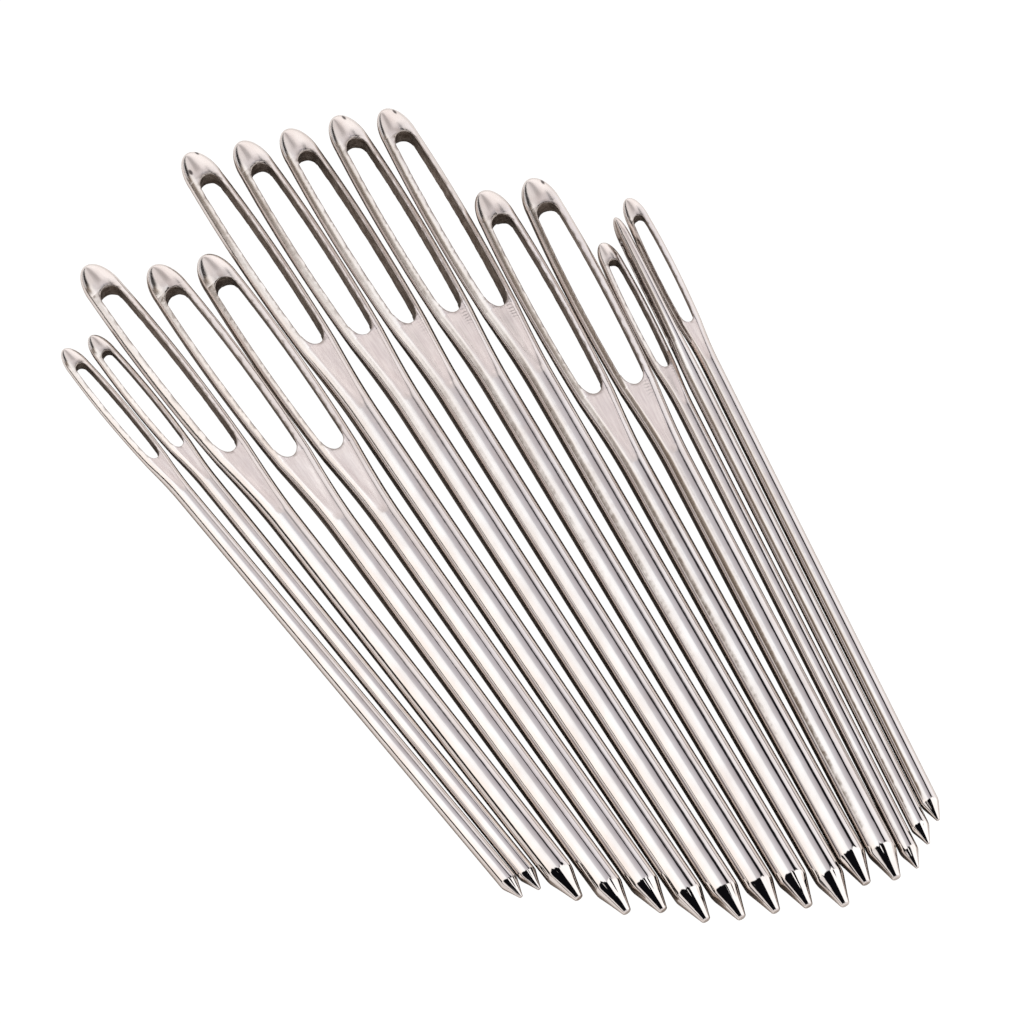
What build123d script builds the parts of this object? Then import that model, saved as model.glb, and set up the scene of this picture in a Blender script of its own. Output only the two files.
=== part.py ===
from build123d import *
import os
from dataclasses import dataclass
from math import asin, cos, degrees, hypot, pi, radians, sin, sqrt

# A set of fifteen large-eye yarn needles in three sizes, fanned side by side on a flat surface.
# Each needle is one piece of plated steel: a round shank, a flattened bow-shaped eye and a blunt point.
# It is modelled as two stretches, the eye end and the shank, that meet face to face where the neck ends.
# Frame: the middle large needle lies along X with its point towards +X, and the surface is at Z = 0.

# Overall sizes of the three needles, in millimetres
large_length = 70.0
medium_length = 60.0
small_length = 53.0
large_shank_diameter = 2.05
medium_shank_diameter = 2.0
small_shank_diameter = 1.3

# The large and the medium needles have the same eye
big_eye_width = 3.12
big_eye_thickness = 1.62
big_limb_width = 0.58
big_slot_length = 16.0
big_head_length = 2.6
big_nose_length = 2.6
big_neck_length = 6.8
big_gutter_length = 5.8
big_rim_radius = 0.06

# The eye of the small needles
small_eye_width = 1.92
small_eye_thickness = 1.06
small_limb_width = 0.42
small_slot_length = 9.4
small_head_length = 1.8
small_nose_length = 1.9
small_neck_length = 3.4
small_gutter_length = 3.2
small_rim_radius = 0.04

# Points: a blunt cone with a rounded shoulder and a small dull end
big_point_length = 2.3
big_point_end_diameter = 0.6
big_point_shoulder_radius = 1.6
big_point_end_radius = 0.14
small_point_length = 1.35
small_point_end_diameter = 0.24
small_point_shoulder_radius = 1.0
small_point_end_radius = 0.06

# Clearances of the fan: the least gap between neighbours, the widest extra gap, and how far cutters overrun
least_gap = 0.05
loose_gap = 0.4
overrun = 1.0

# Shape of the eye, as shares of its own width, thickness and lengths
nose_width_share = 0.85
nose_height_share = 0.88
throat_width_share = 0.88
throat_height_share = 1.06
slot_head_round_share = 1.0
slot_throat_round_share = 1.5
eye_station_shares = (0.16, 0.33, 0.5, 0.67, 0.84, 1.0)
neck_station_shares = (0.2, 0.4, 0.6, 0.8, 1.0)
nose_section_angles = (6.0, 22.0, 40.0, 58.0, 75.0, 90.0)
from_above = 90.0
from_below = 270.0
half_turn = 180.0

# The fan from the near side to the far side
needle_order = ("small",) * 2 + ("medium",) * 3 + ("large",) * 5 + ("medium",) * 2 + ("small",) * 3
middle_needle = "large_needle_3"

# How far each needle is rolled about its own line, in degrees: a few are tipped, and one lies on edge
roll_angles = (-1.0, 5.0, 0.0, 8.0, 8.0, -2.5, -1.0, -6.0, -4.0, -8.0, 0.0, 6.0, -4.5, 90.0, 5.0)

# Place of each point along the middle needle, past its point, as a share of the large length
point_place_shares = (
    -0.133, -0.132, -0.103, -0.068, -0.053, -0.024, -0.010, 0.0,
    0.010, 0.026, 0.016, 0.025, 0.023, 0.006, -0.011,
)

# Extra gap between each needle and the next, at the heads and at the points, as shares of the loose gap
head_gap_shares = (0.1, 0.1, 0.9, 0.1, 0.1, 0.6, 0.1, 0.5, 0.0, 0.1, 0.0, 0.0, 0.0, 0.0)
point_gap_shares = (0.0, 0.0, 0.3, 0.3, 0.1, 0.25, 0.45, 0.15, 0.4, 0.0, 0.0, 0.1, 0.2, 0.0)

# How finely the fan is settled
settling_steps = 12
contact_samples = 600


@dataclass
class Needle:
    length: float
    shank_diameter: float
    eye_width: float
    eye_thickness: float
    limb_width: float
    slot_length: float
    head_length: float
    nose_length: float
    neck_length: float
    gutter_length: float
    rim_radius: float
    point_length: float
    point_end_diameter: float
    point_shoulder_radius: float
    point_end_radius: float

    @property
    def slot_end(self):
        return self.head_length + self.slot_length

    @property
    def neck_end(self):
        return self.slot_end + self.neck_length

    @property
    def shoulder(self):
        return self.length - self.point_length


def big_eyed(length, shank_diameter):
    return Needle(
        length=length,
        shank_diameter=shank_diameter,
        eye_width=big_eye_width,
        eye_thickness=big_eye_thickness,
        limb_width=big_limb_width,
        slot_length=big_slot_length,
        head_length=big_head_length,
        nose_length=big_nose_length,
        neck_length=big_neck_length,
        gutter_length=big_gutter_length,
        rim_radius=big_rim_radius,
        point_length=big_point_length,
        point_end_diameter=big_point_end_diameter,
        point_shoulder_radius=big_point_shoulder_radius,
        point_end_radius=big_point_end_radius,
    )


large = big_eyed(large_length, large_shank_diameter)
medium = big_eyed(medium_length, medium_shank_diameter)
small = Needle(
    length=small_length,
    shank_diameter=small_shank_diameter,
    eye_width=small_eye_width,
    eye_thickness=small_eye_thickness,
    limb_width=small_limb_width,
    slot_length=small_slot_length,
    head_length=small_head_length,
    nose_length=small_nose_length,
    neck_length=small_neck_length,
    gutter_length=small_gutter_length,
    rim_radius=small_rim_radius,
    point_length=small_point_length,
    point_end_diameter=small_point_end_diameter,
    point_shoulder_radius=small_point_shoulder_radius,
    point_end_radius=small_point_end_radius,
)
sizes = {"large": large, "medium": medium, "small": small}


def half_size(needle, station, full, nose_share, throat_share):
    """Half the width or the thickness at a distance from the head end."""
    crest = full / 2
    shank = needle.shank_diameter / 2
    nose_end = needle.nose_length
    if station < nose_end:
        return crest * nose_share * sqrt(1 - (1 - station / nose_end) ** 2)
    if station < needle.slot_end:
        bow = (station - nose_end) / (needle.slot_end - nose_end) * 2 - 1
        end_share = nose_share if bow < 0 else throat_share
        return crest * (1 - (1 - end_share) * bow**2)
    if station < needle.neck_end:
        along = (station - needle.slot_end) / needle.neck_length
        return shank + (crest * throat_share - shank) * (1 - sin(along * pi / 2))
    if station < needle.shoulder:
        return shank
    along = (station - needle.shoulder) / needle.point_length
    return shank + (needle.point_end_diameter / 2 - shank) * along


def half_width(needle, station):
    return half_size(needle, station, needle.eye_width, nose_width_share, throat_width_share)


def half_height(needle, station):
    return half_size(needle, station, needle.eye_thickness, nose_height_share, throat_height_share)


def slot_half_width(needle, station):
    return half_width(needle, station) - needle.limb_width


def eye_stations(needle):
    """Distances from the head end at which the eye and neck are sectioned."""
    stations = [needle.nose_length * (1 - cos(radians(angle))) for angle in nose_section_angles]
    span = needle.slot_end - needle.nose_length
    stations += [needle.nose_length + span * share for share in eye_station_shares]
    stations += [needle.slot_end + needle.neck_length * share for share in neck_station_shares]
    return stations


def head_and_neck(needle):
    """The flattened head, eye and neck, before the slot is cut."""
    sections = []
    for station in eye_stations(needle):
        plane = Plane(origin=(station, 0, 0), x_dir=(0, 1, 0), z_dir=(1, 0, 0))
        sections.append(plane * Ellipse(half_width(needle, station), half_height(needle, station)))
    return loft(sections)


def shank_and_point(needle):
    """The round shank with its blunt point, turned about X."""
    radius = needle.shank_diameter / 2
    end_radius = needle.point_end_diameter / 2
    shoulder = (needle.shoulder, radius)
    tip = (needle.length, end_radius)
    outline = Polyline(
        (needle.neck_end, 0),
        (needle.neck_end, radius),
        shoulder,
        tip,
        (needle.length, 0),
        close=True,
    )
    profile = make_face(outline)
    shoulder_corner = profile.vertices().sort_by_distance((*shoulder, 0))[0]
    profile = fillet(shoulder_corner, needle.point_shoulder_radius)
    tip_corner = profile.vertices().sort_by_distance((*tip, 0))[0]
    profile = fillet(tip_corner, needle.point_end_radius)
    return revolve(profile, Axis.X)


def slot_cutter(needle):
    """The slot through the eye: sides that follow the outside, and rounded ends."""
    head_half = slot_half_width(needle, needle.nose_length)
    throat_half = slot_half_width(needle, needle.slot_end)
    head_round = head_half * slot_head_round_share
    throat_round = throat_half * slot_throat_round_share
    start = needle.head_length + head_round
    end = needle.slot_end - throat_round
    stations = [start + (end - start) * share for share in eye_station_shares[:-1]]
    upper = [(station, slot_half_width(needle, station)) for station in stations]
    upper = [(start, head_half), *upper, (end, throat_half)]
    lower = [(x, -y) for x, y in reversed(upper)]
    side = Spline(*upper, tangents=[(1, 0), (1, 0)])
    far_side = Spline(*lower, tangents=[(-1, 0), (-1, 0)])
    head_end = EllipticalCenterArc((start, 0), head_round, head_half, from_above, arc_size=half_turn)
    throat_end = EllipticalCenterArc((end, 0), throat_round, throat_half, from_below, arc_size=half_turn)
    reach = needle.eye_thickness + overrun
    outline = make_face(side + throat_end + far_side + head_end)
    return extrude(Pos(0, 0, -reach) * outline, amount=2 * reach)


def slot_rims(needle, eye):
    """The edges where the slot breaks through the two faces of the eye."""
    rims = []
    for edge in eye.edges():
        middle = edge.center()
        beside_slot = needle.head_length < middle.X < needle.slot_end
        if beside_slot and abs(middle.Z) > needle.rim_radius:
            rims.append(edge)
    return rims


def gutter_cutter(needle):
    """The flat ramp on one face that runs out of the slot and fades into the shank."""
    throat = needle.slot_end
    share = slot_half_width(needle, throat) / half_width(needle, throat)
    floor = half_height(needle, throat) * sqrt(1 - share**2)
    apex = throat + needle.gutter_length
    crown = half_height(needle, apex)
    top = crown + overrun
    side = Polyline(
        (throat - needle.head_length, floor),
        (throat, floor),
        (apex, crown),
        (apex, top),
        (throat - needle.head_length, top),
        close=True,
    )
    face = make_face(Plane.XZ * side)
    return extrude(face, amount=needle.eye_width, both=True)


def eye_end(needle):
    """The head, the eye and the neck with its two gutters."""
    eye = head_and_neck(needle) - slot_cutter(needle)
    eye = fillet(slot_rims(needle, eye), needle.rim_radius)
    ramp = gutter_cutter(needle)
    eye -= ramp
    eye -= mirror(ramp, about=Plane.XY)
    return eye


def make_needle(needle):
    """The two stretches of a needle along X, with its head end at the origin and its axis at Z = 0."""
    return {"eye_end": eye_end(needle), "shank": shank_and_point(needle)}


@dataclass
class Lie:
    """How one needle lies: its roll about its own line, the place of its point and its turn in the plane."""

    needle: Needle
    roll: float
    point_x: float
    point_y: float = 0.0
    turn: float = 0.0

    def plan_half_width(self, station):
        across = half_width(self.needle, station) * cos(self.roll)
        return hypot(across, half_height(self.needle, station) * sin(self.roll))

    def half_rise(self, station):
        """Half the height that the rolled section takes."""
        upright = half_height(self.needle, station) * cos(self.roll)
        return hypot(upright, half_width(self.needle, station) * sin(self.roll))

    def plan_point(self, station, side):
        """A point on the plan outline, side +1 towards +Y and -1 towards -Y."""
        back = self.needle.length - station
        out = side * self.plan_half_width(station)
        x = self.point_x - back * cos(self.turn) - out * sin(self.turn)
        y = self.point_y - back * sin(self.turn) + out * cos(self.turn)
        return x, y

    def gap_to(self, x, y, side):
        """The gap from this needle's outline to a plan point, or None past its ends."""
        dx = x - self.point_x
        dy = y - self.point_y
        station = self.needle.length + dx * cos(self.turn) + dy * sin(self.turn)
        if not 0 < station < self.needle.length:
            return None
        return side * (dy * cos(self.turn) - dx * sin(self.turn)) - self.plan_half_width(station)


def gaps_between(settled, loose, side):
    """The least gap in the head half and in the point half of two neighbours."""
    found = []
    for sample in range(1, contact_samples):
        station = loose.needle.length * sample / contact_samples
        x, y = loose.plan_point(station, -side)
        gap = settled.gap_to(x, y, side)
        if gap is not None:
            found.append((gap, x))
    middle = (found[0][1] + found[-1][1]) / 2
    head_gap = min(pair for pair in found if pair[1] < middle)
    point_gap = min(pair for pair in found if pair[1] >= middle)
    return head_gap, point_gap


def settle(settled, loose, side, head_gap, point_gap):
    """Turn and shift a needle until it has the asked gaps to the neighbour that lies already."""
    loose.turn = settled.turn
    loose.point_y = settled.point_y + side * settled.needle.eye_width
    for _ in range(settling_steps):
        at_head, at_point = gaps_between(settled, loose, side)
        head_error = head_gap - at_head[0]
        point_error = point_gap - at_point[0]
        loose.point_y += side * point_error
        loose.turn -= side * (head_error - point_error) / (at_point[1] - at_head[1])


def needle_names():
    """Each needle's name: its size, and its number among the needles of that size."""
    count = dict.fromkeys(sizes, 0)
    names = []
    for size in needle_order:
        count[size] += 1
        names.append(f"{size}_needle_{count[size]}")
    return names


def lay_fan():
    """How all the needles of the fan lie, from the near side to the far side."""
    lies = []
    for size, angle, share in zip(needle_order, roll_angles, point_place_shares):
        lies.append(Lie(sizes[size], radians(angle), share * large_length))
    middle_place = needle_names().index(middle_needle)
    gaps = []
    for head_share, point_share in zip(head_gap_shares, point_gap_shares):
        gaps.append((least_gap + head_share * loose_gap, least_gap + point_share * loose_gap))
    for place in range(middle_place + 1, len(lies)):
        settle(lies[place - 1], lies[place], 1, *gaps[place - 1])
    for place in range(middle_place - 1, -1, -1):
        settle(lies[place + 1], lies[place], -1, *gaps[place])
    return lies


def lay_down(solid, lie):
    """Move a finished stretch to its place: the shank touches the surface, and so does an eye on edge."""
    needle = lie.needle
    radius = needle.shank_diameter / 2
    crest = (needle.nose_length + needle.slot_end) / 2
    lift = max(lie.half_rise(crest) - radius, 0)
    tilt = asin(lift / (needle.shoulder - crest))
    height = radius + lift + crest * sin(tilt)
    head_x = lie.point_x - needle.length * cos(lie.turn)
    head_y = lie.point_y - needle.length * sin(lie.turn)
    turned = Rot(0, 0, degrees(lie.turn)) * Rot(0, degrees(tilt), 0) * Rot(degrees(lie.roll), 0, 0)
    return Pos(head_x, head_y, height) * turned * solid


def build_set():
    """Both stretches of every needle in place, with the middle of the whole fan above the origin."""
    needles = {size: make_needle(needle) for size, needle in sizes.items()}
    parts = {}
    for name, size, lie in zip(needle_names(), needle_order, lay_fan()):
        for stretch, solid in needles[size].items():
            parts[f"{name}_{stretch}"] = lay_down(solid, lie)
    boxes = [solid.bounding_box() for solid in parts.values()]
    middle_x = (min(box.min.X for box in boxes) + max(box.max.X for box in boxes)) / 2
    middle_y = (min(box.min.Y for box in boxes) + max(box.max.Y for box in boxes)) / 2
    return {name: Pos(-middle_x, -middle_y, 0) * solid for name, solid in parts.items()}


os.makedirs("parts", exist_ok=True)
for name, solid in build_set().items():
    export_step(solid, f"parts/{name}.step")
    print(name, f"{solid.volume:.2f} mm3")
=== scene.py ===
from dataclasses import dataclass
from math import atan, atan2, cos, pi, radians, sin, sqrt, tan

import bpy
import numpy as np
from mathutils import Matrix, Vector


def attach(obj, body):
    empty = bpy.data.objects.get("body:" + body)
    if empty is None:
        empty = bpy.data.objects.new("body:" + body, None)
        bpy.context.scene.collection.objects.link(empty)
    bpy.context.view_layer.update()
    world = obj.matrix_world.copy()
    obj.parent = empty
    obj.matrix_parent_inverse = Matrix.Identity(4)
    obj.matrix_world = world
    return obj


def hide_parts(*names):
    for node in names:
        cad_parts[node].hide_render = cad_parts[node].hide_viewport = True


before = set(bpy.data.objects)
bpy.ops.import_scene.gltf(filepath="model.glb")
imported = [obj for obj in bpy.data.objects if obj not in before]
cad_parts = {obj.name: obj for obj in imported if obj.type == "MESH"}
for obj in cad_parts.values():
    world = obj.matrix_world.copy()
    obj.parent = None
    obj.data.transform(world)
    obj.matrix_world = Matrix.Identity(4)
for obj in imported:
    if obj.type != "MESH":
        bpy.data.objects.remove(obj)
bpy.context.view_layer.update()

# Fifteen plated steel yarn needles, fanned side by side on a white surface.
# Needle sizes are in millimetres, as in the solids; the scene itself is in metres.
millimetre = 0.001

large_length = 70.0
medium_length = 60.0
small_length = 53.0

# How far each needle is rolled about its own line, in degrees, as in the solids
roll_degrees = {
    "small_needle_1": -1.0,
    "small_needle_2": 5.0,
    "medium_needle_1": 0.0,
    "medium_needle_2": 8.0,
    "medium_needle_3": 8.0,
    "large_needle_1": -2.5,
    "large_needle_2": -1.0,
    "large_needle_3": -6.0,
    "large_needle_4": -4.0,
    "large_needle_5": -8.0,
    "medium_needle_4": 0.0,
    "medium_needle_5": 6.0,
    "small_needle_3": -4.5,
    "small_needle_4": 90.0,
    "small_needle_5": 5.0,
}


@dataclass
class Needle:
    length: float
    shank_diameter: float
    eye_width: float
    eye_thickness: float
    limb_width: float
    slot_length: float
    head_length: float
    nose_length: float
    neck_length: float
    gutter_length: float
    rim_radius: float
    point_length: float
    point_end_diameter: float
    point_shoulder_radius: float
    point_end_radius: float

    @property
    def slot_end(self):
        return self.head_length + self.slot_length

    @property
    def neck_end(self):
        return self.slot_end + self.neck_length

    @property
    def shoulder(self):
        return self.length - self.point_length


def big_eyed(length, shank_diameter):
    return Needle(
        length=length,
        shank_diameter=shank_diameter,
        eye_width=3.12,
        eye_thickness=1.62,
        limb_width=0.58,
        slot_length=16.0,
        head_length=2.6,
        nose_length=2.6,
        neck_length=6.8,
        gutter_length=5.8,
        rim_radius=0.06,
        point_length=2.3,
        point_end_diameter=0.6,
        point_shoulder_radius=1.6,
        point_end_radius=0.14,
    )


sizes = {
    "large": big_eyed(large_length, 2.05),
    "medium": big_eyed(medium_length, 2.0),
    "small": Needle(
        length=small_length,
        shank_diameter=1.3,
        eye_width=1.92,
        eye_thickness=1.06,
        limb_width=0.42,
        slot_length=9.4,
        head_length=1.8,
        nose_length=1.9,
        neck_length=3.4,
        gutter_length=3.2,
        rim_radius=0.04,
        point_length=1.35,
        point_end_diameter=0.24,
        point_shoulder_radius=1.0,
        point_end_radius=0.06,
    ),
}

# Shares that shape the eye, as in the solids
nose_width_share = 0.85
nose_height_share = 0.88
throat_width_share = 0.88
throat_height_share = 1.06
slot_head_round_share = 1.0
slot_throat_round_share = 1.5

# The slot's rim is rounded by hand: broader at the head end, and uneven in waves all along
head_lip_reach = 0.7
head_lip_share = 1.2
lip_share = 0.8
least_lip_share = 0.35
longest_wave = 3.0
shortest_wave = 0.45
wave_count = 9
wave_length_shares = (0.85, 1.15)
wave_height_shares = (0.4, 1.0)

# The gutter's flat is slightly hollow, with a finer rim at the throat than the slot's own, and its edge
# grows softer from the throat to where it fades. least_crease keeps the hollow's width above zero.
gutter_hollow_share = 0.035
hollow_start_share = 0.12
gutter_edge_share = 0.02
gutter_fade_share = 0.06
gutter_rim_share = 0.5
least_crease = 0.05

# The ground edge at the shoulder wanders, in so many waves round it and with such heights
notch_share = 0.06
notch_waves = (3, 7, 11, 16, 23, 31)
notch_height_shares = (0.3, 1.0)

# How far the torn metal of the slot's wall, with its painted shade, reaches over the rim, in rim radii
pierced_reach_share = 2.4

# How finely the mesh is divided, in steps and in millimetres along the needle
rim_steps = 5
face_steps = 7
side_steps = 9
wall_steps = 8
end_steps = 14
cone_steps = 4
outline_steps = 1200
outline_reach = 1.0
block_length = 500
eye_spacing = 0.22
neck_spacing = 0.25
shank_spacing = 1.2

# Stations beside the slot's ends, in rim radii. No two stations lie closer together than the rim radius
# divided by finest_rim_steps.
rim_station_shares = (0.1, 0.3, 0.55, 0.8, 1.05, 1.4)
finest_rim_steps = 20

# Past the slot's ends the rim's rows spread over the face: from where and how gradually, in rim radii, and
# how far, as a share of the half width. The face's rows end past the gutter's edge and short of the side.
spread_start_share = 2
spread_reach_share = 8
spread_width_share = 0.3
past_crease_share = 1.15
least_face_share = 0.08
most_face_share = 0.93


def needle_number(name):
    return list(roll_degrees).index(name) + 1


def solid_names(name):
    return name + "_eye_end", name + "_shank"


def ripple(rng):
    """A wavy line along a needle, swinging about zero."""
    lengths = np.geomspace(longest_wave, shortest_wave, wave_count)
    lengths = lengths * rng.uniform(*wave_length_shares, wave_count)
    phases = rng.uniform(0, 2 * pi, wave_count)
    heights = rng.uniform(*wave_height_shares, wave_count) / sqrt(wave_count)

    def line(station):
        return (heights * np.sin(2 * pi * station[:, None] / lengths + phases)).sum(axis=1)

    return line


def shoulder_notches(rng):
    """How far the ground edge of the shoulder wanders along the needle, around its circle."""
    waves = np.array(notch_waves)
    phases = rng.uniform(0, 2 * pi, len(waves))
    heights = rng.uniform(*notch_height_shares, len(waves)) / sqrt(len(waves))

    def line(bearing):
        return (heights * np.sin(waves * bearing[:, None] + phases)).sum(axis=1)

    return line


def half_size(needle, station, full, nose_share, throat_share):
    """Half the width or the thickness at distances from the head end."""
    crest = full / 2
    shank = needle.shank_diameter / 2
    from_nose = np.clip(1 - station / needle.nose_length, 0, 1)
    nose = crest * nose_share * np.sqrt(1 - from_nose**2)
    bow = (station - needle.nose_length) / (needle.slot_end - needle.nose_length) * 2 - 1
    end_share = np.where(bow < 0, nose_share, throat_share)
    eye = crest * (1 - (1 - end_share) * bow**2)
    along = np.clip((station - needle.slot_end) / needle.neck_length, 0, 1)
    neck = shank + (crest * throat_share - shank) * (1 - np.sin(along * pi / 2))
    return np.where(station < needle.nose_length, nose, np.where(station < needle.slot_end, eye, neck))


def half_width(needle, station):
    return half_size(needle, station, needle.eye_width, nose_width_share, throat_width_share)


def half_height(needle, station):
    return half_size(needle, station, needle.eye_thickness, nose_height_share, throat_height_share)


def slot_halves(needle):
    """Half the slot's width at its head end and at its throat."""
    head = half_width(needle, needle.nose_length) - needle.limb_width
    throat = half_width(needle, needle.slot_end) - needle.limb_width
    return head, throat


def slot_rounds(needle):
    """How far along the needle the slot's round head end and its longer round throat reach."""
    head, throat = slot_halves(needle)
    return head * slot_head_round_share, throat * slot_throat_round_share


def slot_edge(needle, station):
    """Half the slot's width at each station, and zero where there is no slot."""
    head_half, throat_half = slot_halves(needle)
    head_round, throat_round = slot_rounds(needle)
    start = needle.head_length + head_round
    end = needle.slot_end - throat_round
    side = half_width(needle, np.clip(station, needle.nose_length, None)) - needle.limb_width
    head = head_half * np.sqrt(np.clip(1 - ((station - start) / head_round) ** 2, 0, 1))
    throat = throat_half * np.sqrt(np.clip(1 - ((station - end) / throat_round) ** 2, 0, 1))
    edge = np.where(station < start, np.minimum(head, side), side)
    edge = np.where(station > end, throat, edge)
    inside = (station > needle.head_length) & (station < needle.slot_end)
    return np.where(inside, edge, 0.0)


def gutter_floor(needle, station):
    """Height of the flat that runs out of the slot and fades into the shank, and far above elsewhere."""
    throat = needle.slot_end
    share = (half_width(needle, throat) - needle.limb_width) / half_width(needle, throat)
    start = half_height(needle, throat) * sqrt(1 - share**2)
    apex = throat + needle.gutter_length
    crown = half_height(needle, apex)
    ramp = start + (crown - start) * np.clip((station - throat) / needle.gutter_length, 0, 1)
    far_above = 2 * needle.eye_thickness
    return np.where((station < throat - needle.head_length) | (station > apex), far_above, ramp)


def arc(middle, radius, first, last):
    """Stations and radii along an arc of the point's outline, from one lean of the surface to another."""
    turns = np.linspace(first, last, end_steps // 2)
    return [(middle[0] + radius * sin(turn), middle[1] + radius * cos(turn)) for turn in turns]


def point_profile(needle):
    """Stations and radii of the blunt point, with its rounded shoulder and dull end."""
    radius = needle.shank_diameter / 2
    end_radius = needle.point_end_diameter / 2
    slope = atan((radius - end_radius) / needle.point_length)
    reach = needle.point_shoulder_radius * tan(slope / 2)
    shoulder_middle = (needle.shoulder - reach, radius - needle.point_shoulder_radius)
    end_reach = needle.point_end_radius * tan((pi / 2 - slope) / 2)
    end_middle = (needle.length - needle.point_end_radius, end_radius - end_reach)
    shoulder = arc(shoulder_middle, needle.point_shoulder_radius, 0, slope)
    end = arc(end_middle, needle.point_end_radius, slope, pi / 2)
    cone = []
    for step in range(1, cone_steps):
        share = step / cone_steps
        cone.append([start + (stop - start) * share for start, stop in zip(shoulder[-1], end[0])])
    return [*shoulder, *cone, *end]


def eye_and_shank_stations(needle):
    """Stations from the nose to the shoulder, close together where the shape turns fast."""
    turns = np.linspace(0, pi / 2, end_steps)
    head_round, throat_round = slot_rounds(needle)
    rim = needle.rim_radius * np.array(rim_station_shares)
    stations = np.sort(np.concatenate([
        needle.nose_length * (1 - np.cos(turns[1:])),
        needle.head_length - rim,
        needle.head_length + head_round * (1 - np.cos(turns)),
        np.arange(needle.head_length + head_round, needle.slot_end - throat_round, eye_spacing),
        needle.slot_end - throat_round * (1 - np.cos(turns)),
        needle.slot_end + rim,
        np.arange(needle.slot_end + neck_spacing, needle.neck_end, neck_spacing),
        np.arange(needle.neck_end, needle.shoulder - needle.point_shoulder_radius, shank_spacing),
    ]))
    slot_ends = np.array([needle.head_length, needle.slot_end])
    least = needle.rim_radius / finest_rim_steps
    kept = []
    for station in stations:
        from_slot_end = np.abs(slot_ends - station).min()
        if 0 < from_slot_end < least:
            continue
        if kept and station - kept[-1] < least:
            continue
        kept.append(station)
    return np.array(kept)


def slot_distance(needle, station, across):
    """Distance in plan from points to the slot's outline."""
    turns = np.linspace(0, pi, outline_steps)
    along = needle.head_length + needle.slot_length * (1 - np.cos(turns)) / 2
    outline = np.stack([along, slot_edge(needle, along)], axis=1)
    points = np.stack([np.ravel(station), np.abs(np.ravel(across))], axis=1)
    distance = np.full(len(points), np.inf)
    past_head = points[:, 0] > needle.head_length - outline_reach
    near = past_head & (points[:, 0] < needle.slot_end + outline_reach)
    chosen = points[near]
    found = np.empty(len(chosen))
    for start in range(0, len(chosen), block_length):
        block = chosen[start:start + block_length]
        gaps = np.linalg.norm(block[:, None, :] - outline[None, :, :], axis=2)
        found[start:start + block_length] = gaps.min(axis=1)
    distance[near] = found
    return distance.reshape(np.shape(station))


def rounded_drop(distance, radius):
    """How far an edge rounded with a radius lies below the face, at a distance from the edge."""
    inside = np.clip(radius - distance, 0, radius)
    return radius - np.sqrt(radius**2 - inside**2)


def soft_least(first, second, width):
    """The lower of two heights, rounded over a width where they cross, and the share that the first takes."""
    share = np.clip(0.5 + 0.5 * (second - first) / width, 0, 1)
    return second + (first - second) * share - width * share * (1 - share), share


def rim_radii(needle, station, lip):
    """Radius of the slot's rim at each station."""
    at_head = np.clip((needle.head_length + head_lip_reach - station) / head_lip_reach, 0, 1)
    uneven = np.clip(1 + lip_share * lip(station), least_lip_share, None)
    return needle.rim_radius * (1 + head_lip_share * at_head) * uneven


def rows_across(needle, station, rim, crease):
    """How far the upper side's rows lie from the middle: round the rim, over the face and round the side."""
    width = half_width(needle, station)
    edge = slot_edge(needle, station)
    past_slot = np.maximum(needle.head_length - station, station - needle.slot_end) / needle.rim_radius
    spread = np.clip(past_slot - spread_start_share, 0, spread_reach_share) / spread_reach_share
    span = rim + spread * (width * spread_width_share - rim)
    limit = np.maximum(crease * past_crease_share, edge + span + width * least_face_share)
    limit = np.minimum(limit, width * most_face_share)
    rows = [edge + span * (1 - cos(turn)) for turn in np.linspace(0, pi / 2, rim_steps + 1)]
    face_start = rows[-1]
    for step in range(1, face_steps + 1):
        rows.append(face_start + (limit - face_start) * step / face_steps)
    lean = np.arcsin(np.clip(limit / width, 0, 1))
    for step in range(1, side_steps + 1):
        share = step / side_steps
        rows.append(width * np.sin(lean + (pi / 2 - lean) * share))
    return np.stack(rows, axis=1)


def half_rings(needle, lip):
    """One half of every ring, as points from the upper middle line round the side to the lower one.

    With them comes how far each point is on the ground flat and how far on the torn edge of the slot, which
    takes a painted shade.
    """
    station = eye_and_shank_stations(needle)
    width = half_width(needle, station)
    height = half_height(needle, station)
    floor_height = gutter_floor(needle, station)
    crease = width * np.sqrt(np.clip(1 - (floor_height / height) ** 2, 0, 1))
    rim = rim_radii(needle, station, lip)
    across = rows_across(needle, station, rim, crease)
    along = np.repeat(station[:, None], across.shape[1], axis=1)
    rim = rim[:, None]

    distance = slot_distance(needle, along, across)
    curved = height[:, None] * np.sqrt(np.clip(1 - (across / width[:, None]) ** 2, 0, 1))
    face = curved - rounded_drop(distance, rim)
    from_throat = np.clip((along - needle.slot_end) / needle.gutter_length, 0, 1)
    hollow = np.clip(1 - (across / np.maximum(crease, least_crease)[:, None]) ** 2, 0, 1)
    hollow = np.sin(pi * np.clip(from_throat, hollow_start_share, 1)) * hollow
    sunk = floor_height[:, None] - gutter_hollow_share * needle.eye_thickness * hollow
    flat = sunk - rounded_drop(distance, rim * gutter_rim_share)
    softness = needle.eye_thickness * (gutter_edge_share + gutter_fade_share * from_throat)
    top, on_flat = soft_least(flat, face, softness)
    top[:, -1] = 0

    upper = np.stack([along, across, top], axis=2)
    lower = upper[:, -2::-1] * [1, 1, -1]
    torn = np.clip(1 - distance / (rim * pierced_reach_share), 0, 1)
    finish = np.stack([on_flat, torn], axis=2)
    finish = np.concatenate([finish, finish[:, -2::-1]], axis=1)
    return np.concatenate([upper, lower], axis=1), finish


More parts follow.
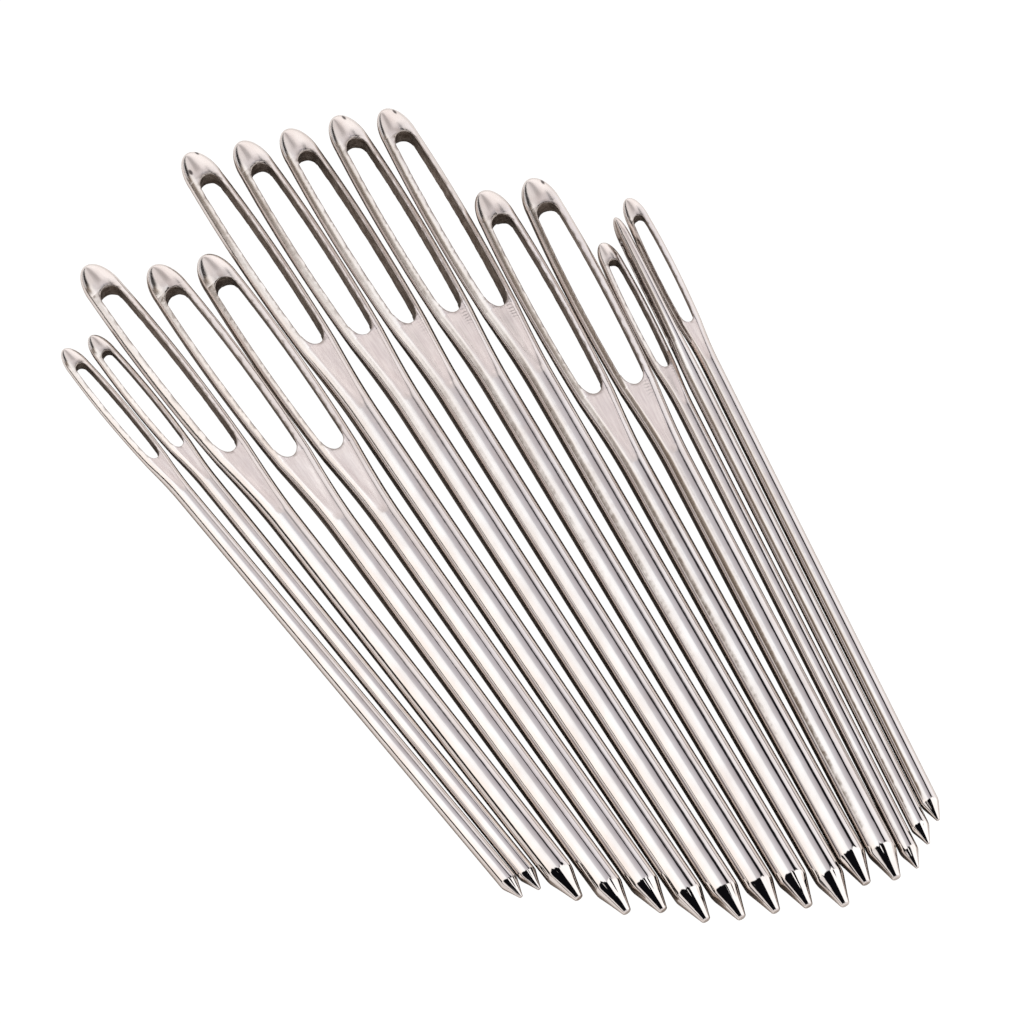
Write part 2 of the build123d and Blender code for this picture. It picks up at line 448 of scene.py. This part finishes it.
class Skin:
    """A needle's surface while it is put together, with how far each point is ground and how far torn, the
    torn part taking a painted shade.
    """

    plain = (0.0, 0.0)
    torn = (0.0, 1.0)

    def __init__(self):
        self.points = []
        self.finish = []
        self.faces = []

    def add(self, point, finish=plain):
        self.points.append(point)
        self.finish.append(finish)
        return len(self.points) - 1

    def add_ring(self, near, far, slot_opens):
        """Add a ring's two halves. Where the slot doesn't open it, they share their middle points."""
        near_row = [self.add(*corner) for corner in zip(*near)]
        far_row = []
        for index, corner in enumerate(zip(*far)):
            at_middle = index in (0, len(near_row) - 1)
            far_row.append(near_row[index] if at_middle and not slot_opens else self.add(*corner))
        return near_row, far_row

    def add_between(self, first, last, share):
        start, end = self.points[first], self.points[last]
        return self.add(start + (end - start) * share, self.torn)

    def add_wall(self, near_row, far_row, slot_opens):
        """Add the slot's two walls at a ring, from the upper rim down to the lower one."""
        near_wall = [near_row[0]]
        far_wall = [far_row[0]]
        for step in range(1, wall_steps):
            share = step / wall_steps
            near_wall.append(self.add_between(near_row[0], near_row[-1], share))
            opposite = self.add_between(far_row[0], far_row[-1], share) if slot_opens else near_wall[-1]
            far_wall.append(opposite)
        return near_wall + near_row[-1:], far_wall + far_row[-1:]

    def join(self, here, there, inward=False):
        """Faces from one ring to the next, or from wall to wall, on the near side and the far side."""
        for index in range(len(here[0]) - 1):
            for on_far_side, first, second in zip((False, True), here, there):
                corners = (first[index], second[index], second[index + 1], first[index + 1])
                if on_far_side != inward:
                    corners = corners[:1] + corners[:0:-1]
                self.faces.append(corners)

    def close_nose(self, loop):
        nose = self.add(np.zeros(3))
        for here, there in zip(loop, loop[1:] + loop[:1]):
            self.faces.append((nose, here, there))

    def add_point(self, needle, loop, rng):
        """Carry the last ring on over the ground shoulder and cone to the dull end."""
        ring = [self.points[index] for index in loop]
        bearings = np.array([atan2(point[1], point[2]) for point in ring])
        notches = shoulder_notches(rng)(bearings) * needle.point_length * notch_share
        half_point = needle.point_length / 2
        for along, radius in point_profile(needle):
            share = radius / (needle.shank_diameter / 2)
            fade = np.clip((needle.shoulder + half_point - along) / half_point, 0, 1)
            following = []
            for point, notch in zip(ring, notches):
                following.append(self.add(point * [0, share, share] + [along + notch * fade, 0, 0]))
            for index in range(len(loop)):
                after = (index + 1) % len(loop)
                self.faces.append((loop[index], following[index], following[after], loop[after]))
            loop = following
        tip = self.add(np.array([needle.length, 0.0, 0.0]))
        for here, there in zip(loop, loop[1:] + loop[:1]):
            self.faces.append((here, tip, there))


def needle_skin(needle, rng):
    """The surface of one needle along X, with its head end at zero."""
    near_points, near_finish = half_rings(needle, ripple(rng))
    far_points, far_finish = half_rings(needle, ripple(rng))
    far_points = far_points * [1, -1, 1]
    slot_opens = slot_edge(needle, near_points[:, 0, 0]) > 0
    has_wall = slot_opens.copy()
    has_wall[1:-1] |= slot_opens[:-2] | slot_opens[2:]

    skin = Skin()
    rings = []
    walls = []
    for index, opens in enumerate(slot_opens):
        near = (near_points[index], near_finish[index])
        far = (far_points[index], far_finish[index])
        rings.append(skin.add_ring(near, far, opens))
        walls.append(skin.add_wall(*rings[-1], opens) if has_wall[index] else None)
    for index in range(len(rings) - 1):
        skin.join(rings[index], rings[index + 1])
        if slot_opens[index] or slot_opens[index + 1]:
            skin.join(walls[index], walls[index + 1], inward=True)

    first_loop, last_loop = (near[:-1] + far[:0:-1] for near, far in (rings[0], rings[-1]))
    skin.close_nose(first_loop)
    skin.add_point(needle, last_loop, rng)
    return skin


# How deep a slice of the solids is taken for a needle's end, and how often its line is found again
end_depth = 0.05
line_passes = 3


def ends(name):
    """Middle of a needle's head end and the direction of its line, in millimetres, read from its solids."""
    vertices = [v.co for part in solid_names(name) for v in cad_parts[part].data.vertices]
    points = np.array(vertices) / millimetre
    axis = np.array([1.0, 0.0, 0.0])
    for _ in range(line_passes):
        along = points @ axis
        head_end = points[along < along.min() + end_depth]
        point_end = points[along > along.max() - end_depth]
        head = (head_end.min(axis=0) + head_end.max(axis=0)) / 2
        tip = (point_end.min(axis=0) + point_end.max(axis=0)) / 2
        axis = (tip - head) / np.linalg.norm(tip - head)
    return head + axis * ((head_end @ axis).min() - head @ axis), axis


def place(points, name):
    """Move a needle's points to where its solids lie."""
    head, axis = ends(name)
    up = np.array([0.0, 0.0, 1.0])
    side = np.cross(up, axis)
    side /= np.linalg.norm(side)
    up = np.cross(axis, side)
    roll = radians(roll_degrees[name])
    side, up = side * cos(roll) + up * sin(roll), up * cos(roll) - side * sin(roll)
    return (head + points[:, :1] * axis + points[:, 1:2] * side + points[:, 2:] * up) * millimetre


# Shader helpers

def linked(tree, socket, value):
    """Set a socket to a value, or link it to another node's output."""
    if isinstance(value, bpy.types.NodeSocket):
        tree.links.new(value, socket)
    else:
        socket.default_value = value


def reckon(tree, operation, *values):
    """Arithmetic on numbers."""
    made = tree.nodes.new("ShaderNodeMath")
    made.operation = operation
    for socket, value in zip(made.inputs, values):
        linked(tree, socket, value)
    return made.outputs[0]


def reckon_places(tree, operation, *values):
    """Arithmetic on places."""
    made = tree.nodes.new("ShaderNodeVectorMath")
    made.operation = operation
    for socket, value in zip(made.inputs, values):
        linked(tree, socket, value)
    return made.outputs["Value" if operation == "LENGTH" else "Vector"]


def spread_over(tree, value, low, high, start=0.0, end=1.0):
    """A value from low to high becomes one from start to end, and stays there outside."""
    made = tree.nodes.new("ShaderNodeMapRange")
    for socket, given in zip(made.inputs, (value, low, high, start, end)):
        linked(tree, socket, given)
    return made.outputs[0]


def mix_colors(tree, share, first, second):
    made = tree.nodes.new("ShaderNodeMix")
    made.data_type = "RGBA"
    first_color, second_color, mixed_color = made.inputs[6], made.inputs[7], made.outputs[2]
    linked(tree, made.inputs["Factor"], share)
    linked(tree, first_color, first)
    linked(tree, second_color, second)
    return mixed_color


def color_bands(tree, value, stops):
    made = tree.nodes.new("ShaderNodeValToRGB")
    linked(tree, made.inputs["Fac"], value)
    elements = made.color_ramp.elements
    while len(elements) < len(stops):
        elements.new(0.5)
    for element, (position, color) in zip(elements, stops):
        element.position = position
        element.color = (*color, 1)
    return made.outputs["Color"]


def attribute(tree, name, output="Fac"):
    made = tree.nodes.new("ShaderNodeAttribute")
    made.attribute_name = name
    return made.outputs[output]


def bump(tree, height, depth, normal=None):
    """Relief of so many metres, on top of another bump's normal."""
    made = tree.nodes.new("ShaderNodeBump")
    made.inputs["Strength"].default_value = 1.0
    made.inputs["Distance"].default_value = depth
    tree.links.new(height, made.inputs["Height"])
    if normal:
        tree.links.new(normal, made.inputs["Normal"])
    return made.outputs["Normal"]


@dataclass
class Pattern:
    """Noise with so many features to a millimetre along a needle and around it, and where it shows."""
    along: float
    around: float
    octaves: float
    roughness: float = 0.55
    faint: float = 0.35
    full: float = 0.7

    def noise(self, tree, own_place):
        scaled = reckon_places(tree, "MULTIPLY", own_place, (self.along, self.around, self.around))
        made = tree.nodes.new("ShaderNodeTexNoise")
        made.inputs["Scale"].default_value = 1.0
        made.inputs["Detail"].default_value = self.octaves
        made.inputs["Roughness"].default_value = self.roughness
        tree.links.new(scaled, made.inputs["Vector"])
        return made.outputs["Fac"]


patterns = {
    "drawn": Pattern(along=0.22, around=9.0, octaves=4.0),
    "waves": Pattern(along=0.7, around=1.1, octaves=2.0),
    "patches": Pattern(along=0.35, around=0.8, octaves=3.0, faint=0.4),
    "grain": Pattern(along=3.5, around=14.0, octaves=2.0, faint=0.55, full=0.8),
    "scratches": Pattern(along=0.5, around=7.0, octaves=4.0, roughness=0.7),
    "mottle": Pattern(along=1.3, around=2.2, octaves=4.0, roughness=0.65, faint=0.4, full=0.66),
}

# Nickel plate with its duller patches and satin grain, the ground flat with its scratches, and the torn
# metal in the slot, painted dark as the shade in the slot, with the lighter spots where it was sheared clean
plate_color = (0.77, 0.72, 0.68, 1)
patch_color = (0.70, 0.635, 0.59, 1)
grain_color = (0.58, 0.52, 0.48, 1)
grain_amount = 0.5
ground_color = (0.98, 0.90, 0.84, 1)
scratch_color = (0.80, 0.71, 0.67, 1)
# Painted shade: the slot's torn wall and rim are coloured dark brown, standing in for the shade inside the
# slot
torn_steel_and_painted_shade_color = (0.30, 0.245, 0.205, 1)
sheared_color = (0.72, 0.66, 0.61, 1)
sheared_from = 0.9
mark_color = (0.11, 0.095, 0.09, 1)

# Roughness of the bright plate, what satin plating and drawn lines add to it, and that of the ground flat
# and the torn wall
bright_roughness = 0.03
satin_roughness = 0.27
drawn_roughness = 0.04
ground_roughness = 0.3
torn_roughness = 0.26

# Depths of the relief, in metres
wave_depth = 9e-6
drawn_depth = 0.9e-6
scratch_depth = 3e-6
torn_depth = 12e-6
grain_depth = 1.2e-6

# Pits near some head ends: needle, distance from the head end and across, in millimetres
pits = (
    ("large_needle_1", 0.46, 0.5),
    ("large_needle_1", 1.8, -0.76),
    ("large_needle_4", 0.57, 0.36),
    ("large_needle_5", 0.71, 0.44),
    ("medium_needle_5", 0.83, 0.72),
)
pit_length = 0.3
pit_width = 0.13
pit_floor_share = 0.55
pit_rim_share = 1.1

# How strongly a needle shows the grinder's ticks beside the throat of its slot
tick_amounts = {
    "large_needle_3": 0.15,
    "large_needle_4": 0.5,
    "large_needle_5": 0.55,
    "medium_needle_5": 0.3,
    "small_needle_3": 0.2,
}
tick_spacing = 0.26
tick_waver = 12.0
tick_faint = 0.1
tick_full = 0.6

# The patch of ticks, in limb widths: half its length, its distance from the middle line, and half its width
tick_length_share = 1.2
tick_off_share = 0.8
tick_width_share = 0.35
tick_fade_share = 1.4

# How satin the plating is along a needle, from its head end to its point, in shares of its length
satin_places = (0.0, 0.04, 0.22, 0.32, 0.42, 0.6, 0.8, 1.0)
satin_amounts = (0.42, 0.42, 0.35, 0.38, 0.25, 0.12, 0.03, 0.0)

# How far apart the needles' own places start, so that no two needles show the same patterns
place_step = 100.0


def pitted(tree, own_place):
    """One inside the pits and nought outside."""
    deepest = 0.0
    for name, station, across in pits:
        middle = (place_step * needle_number(name) + station, across, 0)
        away = reckon_places(tree, "SUBTRACT", own_place, middle)
        scaled = reckon_places(tree, "MULTIPLY", away, (1 / pit_length, 1 / pit_width, 0))
        distance = reckon_places(tree, "LENGTH", scaled)
        inside = spread_over(tree, distance, pit_floor_share, pit_rim_share, 1.0, 0.0)
        deepest = reckon(tree, "MAXIMUM", deepest, inside)
    return deepest


def ticked(tree, own_place, amount, mottle):
    """Wavering lines across the needle where the grinder left its ticks."""
    parts = tree.nodes.new("ShaderNodeSeparateXYZ")
    linked(tree, parts.inputs[0], own_place)
    steps = reckon(tree, "MULTIPLY", parts.outputs[0], 2 * pi / tick_spacing)
    swing = reckon(tree, "SINE", reckon(tree, "MULTIPLY_ADD", mottle, tick_waver, steps))
    return reckon(tree, "MULTIPLY", amount, spread_over(tree, swing, tick_faint, tick_full))


def steel_color(tree, own_place, shares, noises):
    def shown(name):
        return spread_over(tree, noises[name], patterns[name].faint, patterns[name].full)

    clean = mix_colors(tree, shown("patches"), plate_color, patch_color)
    grainy = reckon(tree, "MULTIPLY", shown("grain"), grain_amount)
    color = mix_colors(tree, reckon(tree, "MULTIPLY", shares["satin"], grainy), clean, grain_color)
    flat = mix_colors(tree, shown("scratches"), ground_color, scratch_color)
    color = mix_colors(tree, shares["ground"], color, flat)
    # Painted shade: the slot's wall and rim take a dark brown, with lighter sheared spots spread at random
    on_wall = spread_over(tree, shares["pierced_and_shaded"], sheared_from, 1.0)
    wall = mix_colors(tree, reckon(tree, "MULTIPLY", shown("mottle"), on_wall), torn_steel_and_painted_shade_color, sheared_color)
    color = mix_colors(tree, shares["pierced_and_shaded"], color, wall)
    ticks = ticked(tree, own_place, shares["ticked"], noises["mottle"])
    marks = reckon(tree, "MAXIMUM", ticks, pitted(tree, own_place))
    return mix_colors(tree, marks, color, mark_color)


def steel_roughness(tree, shares, noises):
    drawn = patterns["drawn"]
    rough = reckon(tree, "MULTIPLY_ADD", shares["satin"], satin_roughness, bright_roughness)
    lines = spread_over(tree, noises["drawn"], drawn.faint, drawn.full)
    rough = reckon(tree, "MULTIPLY_ADD", lines, drawn_roughness, rough)
    rough = reckon(tree, "MAXIMUM", rough, reckon(tree, "MULTIPLY", shares["ground"], ground_roughness))
    return reckon(tree, "MAXIMUM", rough, reckon(tree, "MULTIPLY", shares["pierced_and_shaded"], torn_roughness))


def steel_relief(tree, shares, noises):
    relief = bump(tree, noises["waves"], wave_depth)
    relief = bump(tree, noises["drawn"], drawn_depth, relief)
    for noise, share, depth in (
        ("scratches", "ground", scratch_depth),
        ("mottle", "pierced_and_shaded", torn_depth),
        ("grain", "satin", grain_depth),
    ):
        relief = bump(tree, reckon(tree, "MULTIPLY", noises[noise], shares[share]), depth, relief)
    return relief


def plated_steel():
    """Nickel plate over drawn wire: bright at the point, satin at the eye, worn off the flat and slot, and
    painted dark as shade on the slot's walls.
    """
    material = bpy.data.materials.new("plated_steel")
    material.use_nodes = True
    tree = material.node_tree
    shader = tree.nodes["Principled BSDF"]
    shader.inputs["Metallic"].default_value = 1.0
    own_place = attribute(tree, "own_place", "Vector")
    shares = {name: attribute(tree, name) for name in ("satin", "ground", "pierced_and_shaded", "ticked")}
    noises = {name: pattern.noise(tree, own_place) for name, pattern in patterns.items()}
    linked(tree, shader.inputs["Base Color"], steel_color(tree, own_place, shares, noises))
    linked(tree, shader.inputs["Roughness"], steel_roughness(tree, shares, noises))
    linked(tree, shader.inputs["Normal"], steel_relief(tree, shares, noises))
    return material


def add_share(mesh, name, values):
    mesh.attributes.new(name, "FLOAT", "POINT").data.foreach_set("value", values.astype(np.float32))


def ticks_beside_throat(needle, points, amount):
    """Where the grinder's ticks are: just past the throat, off the middle on the side of +Y."""
    middle = needle.slot_end + needle.limb_width
    from_middle = np.abs(points[:, 0] - middle) / needle.limb_width / tick_length_share
    off_side = np.abs(points[:, 1] - needle.limb_width * tick_off_share) / needle.limb_width
    farthest = np.maximum(from_middle, off_side / tick_width_share)
    return amount * np.clip(tick_fade_share - farthest, 0, 1)


def build_needle(name, material):
    needle = sizes[name.split("_")[0]]
    number = needle_number(name)
    skin = needle_skin(needle, np.random.default_rng(number))
    points = np.array(skin.points)
    finish = np.array(skin.finish)
    mesh = bpy.data.meshes.new(name + "_plated")
    mesh.from_pydata(place(points, name).tolist(), [], skin.faces)
    mesh.update()
    mesh.shade_smooth()
    mesh.materials.append(material)
    add_share(mesh, "satin", np.interp(points[:, 0] / needle.length, satin_places, satin_amounts))
    add_share(mesh, "ground", finish[:, 0])
    add_share(mesh, "pierced_and_shaded", finish[:, 1])
    add_share(mesh, "ticked", ticks_beside_throat(needle, points, tick_amounts.get(name, 0.0)))
    own_place = points + [place_step * number, 0, 0]
    place_data = mesh.attributes.new("own_place", "FLOAT_VECTOR", "POINT").data
    place_data.foreach_set("vector", own_place.astype(np.float32).ravel())
    piece = bpy.data.objects.new(name + "_plated", mesh)
    bpy.context.scene.collection.objects.link(piece)
    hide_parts(*solid_names(name))
    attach(piece, name)


# In the steel, the surface mirrors with a painted shade, darker the less open it is, so only narrow gaps
# between needles are dark
floor_size = 3.0
floor_color = (0.1, 0.09, 0.085, 1)
floor_roughness = 0.9
gap_reach = 0.003
openness_samples = 8
painted_gap_shade_bands = (
    (0.32, (0.006, 0.005, 0.004)),
    (0.46, (0.10, 0.08, 0.066)),
    (0.74, (0.26, 0.215, 0.185)),
    (0.95, (0.92, 0.89, 0.89)),
)
white = (1, 1, 1, 1)


def floor():
    """A white surface that glows: even white to look at, and with a painted shade in the gaps between needles
    where the steel mirrors it.
    """
    mesh = bpy.data.meshes.new("floor")
    corners = [(x * floor_size, y * floor_size, 0) for x, y in ((-1, -1), (1, -1), (1, 1), (-1, 1))]
    mesh.from_pydata(corners, [], [(0, 1, 2, 3)])
    material = bpy.data.materials.new("white_surface")
    material.use_nodes = True
    tree = material.node_tree
    shader = tree.nodes["Principled BSDF"]
    shader.inputs["Roughness"].default_value = floor_roughness
    shader.inputs["Specular IOR Level"].default_value = 0.0
    shader.inputs["Base Color"].default_value = floor_color
    openness = tree.nodes.new("ShaderNodeAmbientOcclusion")
    openness.samples = openness_samples
    openness.inputs["Distance"].default_value = gap_reach
    # Painted shade: the glow that the steel mirrors darkens where the floor is closed in between needles
    mirrored_with_painted_shade = color_bands(tree, openness.outputs["AO"], painted_gap_shade_bands)
    looked_at = tree.nodes.new("ShaderNodeLightPath").outputs["Is Camera Ray"]
    linked(tree, shader.inputs["Emission Color"], mix_colors(tree, looked_at, mirrored_with_painted_shade, white))
    shader.inputs["Emission Strength"].default_value = 1.0
    mesh.materials.append(material)
    obj = bpy.data.objects.new("floor", mesh)
    bpy.context.scene.collection.objects.link(obj)


# Light from each angle about the needles' line, in degrees: up is 0, and the side of -Y is positive.
# back_bands are the wall behind the heads. The eyes mirror eye_bands, and the shanks mirror shank_bands and,
# toward their points, point_bands. The ground points mirror the dark gap in gap_bands and the panels ahead
# of them in front_bands.
eye_bands = (
    (-180, (1.05, 1.02, 1.05)),
    (-80, (1.15, 1.12, 1.16)),
    (-62, (1.10, 1.07, 1.10)),
    (-47, (0.95, 0.92, 0.95)),
    (-44, (0.40, 0.39, 0.41)),
    (-37, (0.40, 0.39, 0.41)),
    (-33, (0.84, 0.80, 0.83)),
    (0, (0.88, 0.84, 0.87)),
    (20, (0.88, 0.86, 0.90)),
    (30, (1.24, 1.24, 1.27)),
    (40, (1.24, 1.22, 1.21)),
    (50, (0.34, 0.28, 0.23)),
    (62, (0.20, 0.16, 0.13)),
    (80, (0.16, 0.13, 0.105)),
    (87, (0.05, 0.04, 0.035)),
    (180, (0.06, 0.05, 0.045)),
)
shank_bands = (
    (-180, (1.05, 1.02, 1.05)),
    (-80, (1.10, 1.10, 1.18)),
    (-62, (0.98, 0.97, 1.05)),
    (-50, (0.85, 0.83, 0.90)),
    (-46.5, (0.80, 0.78, 0.84)),
    (-44.5, (0.03, 0.03, 0.035)),
    (-36, (0.03, 0.03, 0.035)),
    (-33, (0.60, 0.59, 0.65)),
    (-10, (0.70, 0.69, 0.76)),
    (2, (0.78, 0.81, 0.90)),
    (12, (1.25, 1.30, 1.38)),
    (25, (1.32, 1.38, 1.46)),
    (50, (1.30, 1.32, 1.36)),
    (76, (1.24, 1.22, 1.22)),
    (79, (0.06, 0.05, 0.045)),
    (180, (0.06, 0.05, 0.045)),
)
point_bands = (
    (-180, (1.15, 1.12, 1.15)),
    (-80, (1.20, 1.20, 1.26)),
    (-62, (1.12, 1.12, 1.18)),
    (-54, (0.95, 0.94, 1.00)),
    (-51, (0.01, 0.01, 0.012)),
    (-34, (0.01, 0.01, 0.012)),
    (-31, (0.55, 0.54, 0.60)),
    (-12, (0.74, 0.73, 0.80)),
    (3, (0.86, 0.88, 0.96)),
    (10, (1.30, 1.35, 1.42)),
    (25, (1.38, 1.44, 1.52)),
    (72, (1.38, 1.32, 1.28)),
    (75, (0.02, 0.018, 0.015)),
    (180, (0.02, 0.018, 0.015)),
)
gap_bands = (
    (-180, (1.20, 1.18, 1.20)),
    (-80, (1.42, 1.45, 1.50)),
    (-16, (1.42, 1.45, 1.50)),
    (-13, (0.005, 0.005, 0.007)),
    (60, (0.005, 0.005, 0.007)),
    (64, (1.05, 1.03, 1.05)),
    (80, (1.05, 1.03, 1.05)),
    (83, (0.05, 0.04, 0.04)),
    (180, (0.05, 0.04, 0.04)),
)
front_bands = (
    (-180, (0.95, 0.94, 0.96)),
    (-70, (1.05, 1.05, 1.10)),
    (-30, (0.90, 0.90, 0.95)),
    (-5, (0.50, 0.49, 0.52)),
    (15, (0.55, 0.54, 0.57)),
    (45, (1.0, 1.0, 1.04)),
    (78, (0.95, 0.93, 0.93)),
    (83, (0.10, 0.09, 0.085)),
    (180, (0.10, 0.09, 0.085)),
)
back_bands = (
    (-180, (1.05, 0.99, 0.99)),
    (-85, (1.25, 1.21, 1.22)),
    (-45, (1.32, 1.28, 1.30)),
    (-24, (1.12, 1.07, 1.09)),
    (-12, (0.56, 0.53, 0.54)),
    (-3, (0.56, 0.53, 0.54)),
    (10, (0.95, 0.91, 0.93)),
    (36, (1.02, 0.99, 1.0)),
    (41, (0.02, 0.02, 0.022)),
    (62, (0.02, 0.02, 0.022)),
    (68, (0.85, 0.85, 0.88)),
    (82, (0.85, 0.85, 0.88)),
    (85, (0.12, 0.1, 0.1)),
    (180, (0.12, 0.1, 0.1)),
)

# Each zone takes over from the one before it where the direction's share toward +X crosses its seam
zones = (
    (eye_bands, (-0.61, -0.55)),
    (shank_bands, (-0.458, -0.432)),
    (point_bands, (-0.43, -0.36)),
    (gap_bands, (-0.17, -0.09)),
    (front_bands, (0.45, 0.55)),
)


def tent():
    """The studio's light: white panels round the set, and dark where the photographer stands."""
    world = bpy.data.worlds.new("tent")
    bpy.context.scene.world = world
    world.use_nodes = True
    tree = world.node_tree
    toward = tree.nodes.new("ShaderNodeTexCoord").outputs["Generated"]
    parts = tree.nodes.new("ShaderNodeSeparateXYZ")
    tree.links.new(toward, parts.inputs[0])
    east, north, up = parts.outputs
    angle = reckon(tree, "ARCTAN2", reckon(tree, "MULTIPLY", north, -1.0), up)
    turn_share = spread_over(tree, angle, -pi, pi)

    def lit(bands):
        return color_bands(tree, turn_share, [((degrees + 180) / 360, color) for degrees, color in bands])

    all_round = lit(back_bands)
    for bands, seam in zones:
        all_round = mix_colors(tree, spread_over(tree, east, *seam), all_round, lit(bands))
    looked_at = tree.nodes.new("ShaderNodeLightPath").outputs["Is Camera Ray"]
    seen = mix_colors(tree, looked_at, all_round, white)
    linked(tree, tree.nodes["Background"].inputs["Color"], seen)


def studio():
    floor()
    tent()
    bpy.context.scene.view_settings.view_transform = "Standard"


def camera():
    """The photograph's view: from the point end, high above the set."""
    aim = Vector((-0.674, 1.094, 0)) * millimetre
    distance = 450 * millimetre
    elevation = radians(61.5)
    azimuth = radians(61.15)
    back = Vector((sin(azimuth) * cos(elevation), -cos(azimuth) * cos(elevation), sin(elevation)))
    data = bpy.data.cameras.new("camera")
    data.lens = 228.85
    data.sensor_width = 36
    data.clip_start = 0.01
    obj = bpy.data.objects.new("camera", data)
    obj.location = aim + back * distance
    obj.rotation_mode = "QUATERNION"
    obj.rotation_quaternion = (-back).to_track_quat("-Z", "Y")
    bpy.context.scene.collection.objects.link(obj)
    bpy.context.scene.camera = obj


camera()
studio()
steel = plated_steel()
for name in roll_degrees:
    build_needle(name, steel)
